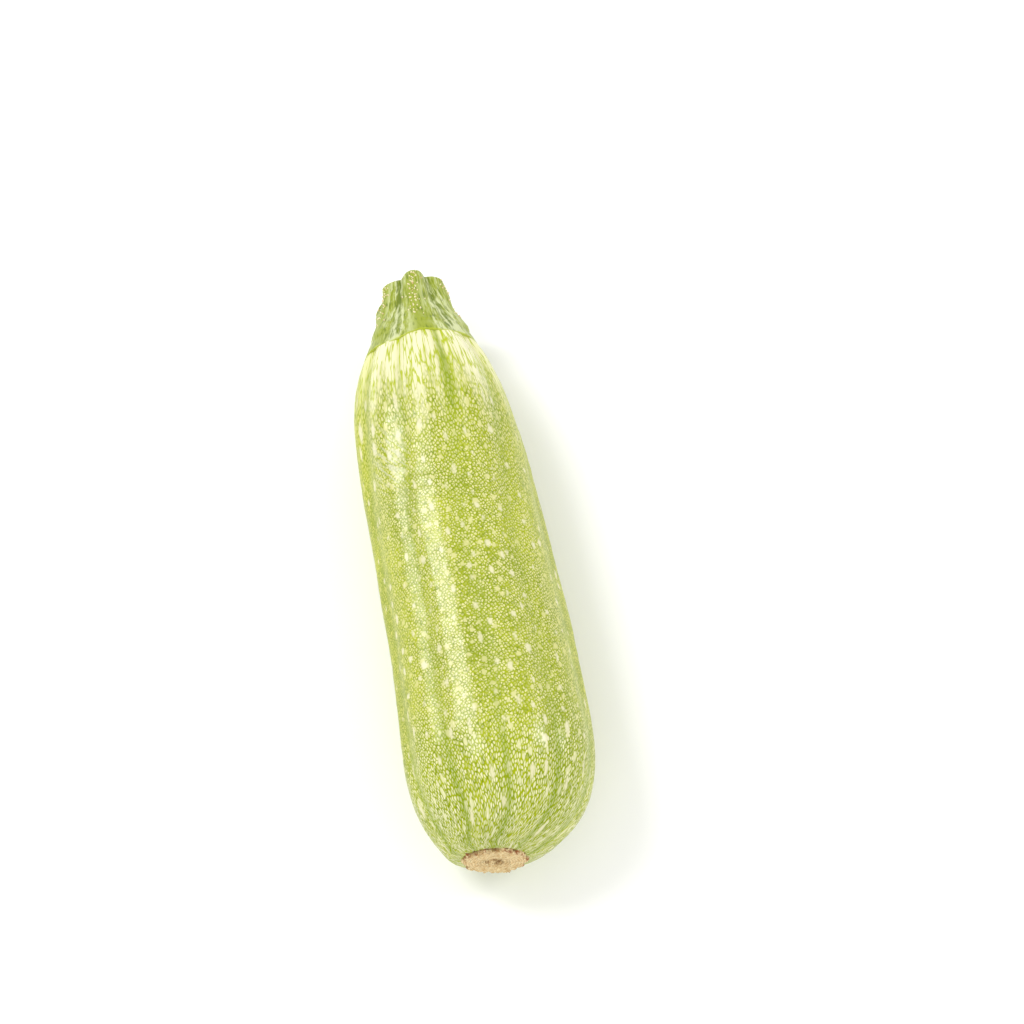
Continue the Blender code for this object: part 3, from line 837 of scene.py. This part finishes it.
# A disc whose outline has ten uneven lobes with torn edges: radius less a cosine of the angle and
# a fine random tear. Its face is drawn in at the middle and crossed by low rings of fibre
def makeScar():
    count = scar["rings"]
    angle = np.arange(scar["segments"])[None, :] * 2 * math.pi / scar["segments"]
    inside = 1 - scar["rim"] / scar["radius"]
    front = np.linspace(0.02, inside, count["front"])
    turn = top * (np.arange(count["rim"]) + 1) / count["rim"]
    wall = np.linspace(0, 1, count["wall"] + 1)[1:]
    back = np.linspace(1, 0.05, count["back"] + 1)[1:]
    share = np.concatenate([front, inside + (1 - inside) * np.sin(turn), 1 + 0 * wall, back])[:, None]
    depth = np.concatenate([0 * front, scar["rim"] * (1 - np.cos(turn)),
                            scar["rim"] + (scar["proud"] + scar["backDepth"] - scar["rim"]) * wall,
                            scar["proud"] + scar["backDepth"] + 0 * back])[:, None]
    circle = np.stack([np.cos(angle), 0 * angle, np.sin(angle)], axis=-1) * scar["radius"]
    tear = rippleField(circle, 0.0016, 41, 32) + 0.6 * rippleField(circle, 0.0007, 42, 32)
    notch = (1 - np.cos(scar["lobes"] * angle)) / 2
    uneven = (3 + np.cos(3 * angle + 1)) / 4
    outline = scar["radius"] - scar["lobeDepth"] * notch * uneven + scar["ragged"] * tear
    radius = share * outline
    flat = np.stack(np.broadcast_arrays(radius * np.cos(angle), 0 * radius, radius * np.sin(angle)), axis=-1)
    onFace = (depth < 1e-6).astype(float)
    bent = rippleField(flat, 0.003, 43) * 0.0003
    fibre = np.cos((radius + bent) / scar["fibreSpacing"] * 2 * math.pi)
    fibre = fibre * (0.5 + 0.5 * rippleField(flat, 0.0018, 44))
    pitX = flat[..., 0] / (1.15 * scar["pitRadius"])
    pitZ = flat[..., 2] / (0.8 * scar["pitRadius"])
    pit = np.exp(-(pitX ** 2 + pitZ ** 2) ** 1.5)
    knot = rippleField(flat, 0.0011, 45, 32) * np.exp(-(radius / scar["knotReach"]) ** 2)
    sunk = scar["pitDepth"] * pit + scar["knotHeight"] * knot + scar["fibreHeight"] * fibre * onFace
    lip = np.exp(-((share - 0.95) / 0.05) ** 2) * onFace
    sunk = sunk - scar["lipHeight"] * lip * (0.5 + tear * 0.5)
    along = -scar["proud"] + depth + sunk * onFace
    points = aroundAxis(along, radius, angle)
    rimShare = softStep(share + 0.03 * tear, 0.93, 0.985)
    burntPatch = 0.30 + 0.70 * softStep(rippleField(circle, 0.0019, 46, 32), -0.5, 0.5)
    fields = {
        "cork": np.stack(np.broadcast_arrays(flat[..., 0], 1.5 * depth, flat[..., 2]), axis=-1),
        "rim": rimShare * burntPatch,
        "pit": pit,
    }
    piece = gridPiece("blossom_cork", points + origin, corkBrown(), fields)
    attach(piece, "root")
    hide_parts("blossom_scar")
    print("scar made,", len(piece.data.polygons), "faces")


# Cork that a plant grows over a wound: dry, matt and fibrous. It gives a tan face with fine rings
# and pits, darker in its middle, and a torn edge burnt red-brown
def corkBrown():
    material, tree = newMaterial("grown wound cork, dry")
    flat = addNode(tree, "Attribute", {}, attribute_name="cork").outputs["Vector"]
    rim, pit = [addNode(tree, "Attribute", {}, attribute_name=name).outputs["Fac"]
                for name in ("rim", "pit")]
    mottle = addNode(tree, "TexNoise",
                     {"Vector": flat, "Scale": 1 / scar["mottleSize"], "Detail": 4.0,
                      "Roughness": 0.65}).outputs["Fac"]
    grit = addNode(tree, "TexNoise",
                   {"Vector": flat, "Scale": 1 / scar["gritSize"], "Detail": 2.0}).outputs["Fac"]
    reach = addNode(tree, "VectorMath", {0: flat}, operation="LENGTH").outputs["Value"]
    bent = addNode(tree, "Math", {0: mottle, 1: 0.0014, 2: reach}, operation="MULTIPLY_ADD").outputs[0]
    rings = addNode(tree, "Math", {0: bent, 1: 2 * math.pi / scar["ringSpacing"]},
                    operation="MULTIPLY").outputs[0]
    rings = addNode(tree, "Math", {0: rings}, operation="SINE").outputs[0]
    ringShare = addNode(tree, "MapRange",
                        {"Value": rings, "From Min": 0.1, "From Max": 1.0, "To Max": 0.50}).outputs[0]
    paleShare = addNode(tree, "MapRange", {"Value": mottle, "From Min": 0.35, "From Max": 0.6}).outputs[0]
    gritShare = addNode(tree, "MapRange",
                        {"Value": grit, "From Min": 0.55, "From Max": 0.68, "To Max": 0.7}).outputs[0]

    # dark cracks wind through the knot in the middle, where a noise passes its middle
    knot = addNode(tree, "TexNoise",
                   {"Vector": flat, "Scale": 1 / scar["crackSize"], "Detail": 2.0}).outputs["Fac"]
    knot = addNode(tree, "Math", {0: knot, 1: 0.5}, operation="SUBTRACT").outputs[0]
    knot = addNode(tree, "Math", {0: knot}, operation="ABSOLUTE").outputs[0]
    knot = addNode(tree, "MapRange", {"Value": knot, "From Min": 0.10, "From Max": 0.02}).outputs[0]
    pitShare = addNode(tree, "Math", {0: pit, 1: knot}, operation="MULTIPLY").outputs[0]

    # the rim is burnt brown to red, with cream flakes left on it
    burnt = addNode(tree, "Mix", {0: grit, 6: colour(scar["rimBrown"]), 7: colour(scar["rimRed"])},
                    data_type="RGBA").outputs[2]
    flakes = addNode(tree, "MapRange", {"Value": mottle, "From Min": 0.48, "From Max": 0.60}).outputs[0]
    burnt = addNode(tree, "Mix", {0: flakes, 6: burnt, 7: colour(scar["corkPale"])},
                    data_type="RGBA").outputs[2]

    face = colour(scar["cork"])
    for share, tint in ((paleShare, colour(scar["corkPale"])), (ringShare, colour(scar["corkDark"])),
                        (gritShare, colour(scar["corkDark"])), (pitShare, colour(scar["knot"])),
                        (rim, burnt)):
        face = addNode(tree, "Mix", {0: share, 6: face, 7: tint}, data_type="RGBA").outputs[2]
    relief = addNode(tree, "Math", {0: grit, 1: mottle}, operation="ADD").outputs[0]
    bump = addNode(tree, "Bump", {"Height": relief, "Distance": 0.0004, "Strength": 0.9}).outputs[0]
    shader = addNode(tree, "BsdfPrincipled",
                     {"Base Color": face, "Roughness": scar["roughness"], "Normal": bump})
    addNode(tree, "OutputMaterial", {0: shader.outputs[0]})
    return material


# Floor, light and camera
studio = {
    "floorSize": 6.0,
    "floor": "FFFFFF",
    "skyStrength": 0.68,
    "azimuth": -8.6,  # in degrees, 0 looks along +Y
    "elevation": 66,
    "distance": 1.2,
    "lens": 153.6,  # millimetres, on a 36 mm sensor
    "aimHeight": 0.025,
    "aimRight": 0.01214,
    "aimUp": 0.01357,
    # each softbox: where it stands, its size along the marrow and across it, its power in watts
    "lights": {
        "left": ((-0.58, 0.45, 0.68), 0.075, 0.70, 3.3),
        "right": ((0.79, 0.09, 0.595), 0.17, 0.36, 2.9),
        "upper": ((-0.433, 0.104, 0.88), 0.14, 0.26, 1.8),
        "front": ((-0.15, -0.80, 0.55), 0.90, 0.60, 2.0),
    },
}


# Turns a light or a camera to its target, with its own X axis held as near to sideways as it can be
def lookAt(thing, place, target, sideways):
    back = (Vector(place) - Vector(target)).normalized()
    up = back.cross(Vector(sideways)).normalized()
    thing.location = place
    thing.rotation_euler = Matrix((up.cross(back), up, back)).transposed().to_euler()


# A big matt floor, an even sky and four softboxes, with the camera looking down at the marrow
def makeStudio():
    mesh = bpy.data.meshes.new("floor")
    half = studio["floorSize"] / 2
    corners = [(-half, -half, 0), (half, -half, 0), (half, half, 0), (-half, half, 0)]
    mesh.from_pydata(corners, [], [(0, 1, 2, 3)])
    floor = bpy.data.objects.new("floor", mesh)
    material, tree = newMaterial("painted paper sweep, matt")
    shader = addNode(tree, "BsdfPrincipled",
                     {"Base Color": colour(studio["floor"]), "Roughness": 0.9, "Specular IOR Level": 0.2})
    addNode(tree, "OutputMaterial", {0: shader.outputs[0]})
    mesh.materials.append(material)
    bpy.context.scene.collection.objects.link(floor)

    world = bpy.data.worlds.new("studio")
    world.use_nodes = True
    world.node_tree.nodes["Background"].inputs["Color"].default_value = (1, 1, 1, 1)
    world.node_tree.nodes["Background"].inputs["Strength"].default_value = studio["skyStrength"]
    bpy.context.scene.world = world

    for name, (place, width, height, power) in studio["lights"].items():
        light = bpy.data.lights.new(name, "AREA")
        light.shape = "RECTANGLE"
        light.size, light.size_y, light.energy = width, height, power
        box = bpy.data.objects.new(name, light)
        bpy.context.scene.collection.objects.link(box)
        lookAt(box, place, (0, 0, studio["aimHeight"]), (0, 1, 0))

    turn, rise = math.radians(studio["azimuth"]), math.radians(studio["elevation"])
    back = Vector((math.sin(turn) * math.cos(rise), -math.cos(turn) * math.cos(rise), math.sin(rise)))
    right = Vector((math.cos(turn), math.sin(turn), 0))
    up = back.cross(right)
    target = Vector((0, 0, studio["aimHeight"])) + right * studio["aimRight"] + up * studio["aimUp"]
    lens = bpy.data.cameras.new("camera")
    lens.lens = studio["lens"]
    lens.sensor_width = 36
    camera = bpy.data.objects.new("camera", lens)
    bpy.context.scene.collection.objects.link(camera)
    lookAt(camera, target + back * studio["distance"], target, right)
    bpy.context.scene.camera = camera
    bpy.context.scene.view_settings.view_transform = "Standard"
    print("studio made")


makeStudio()
makeFruit()
makeStem()
makePrickles()
makeScar()
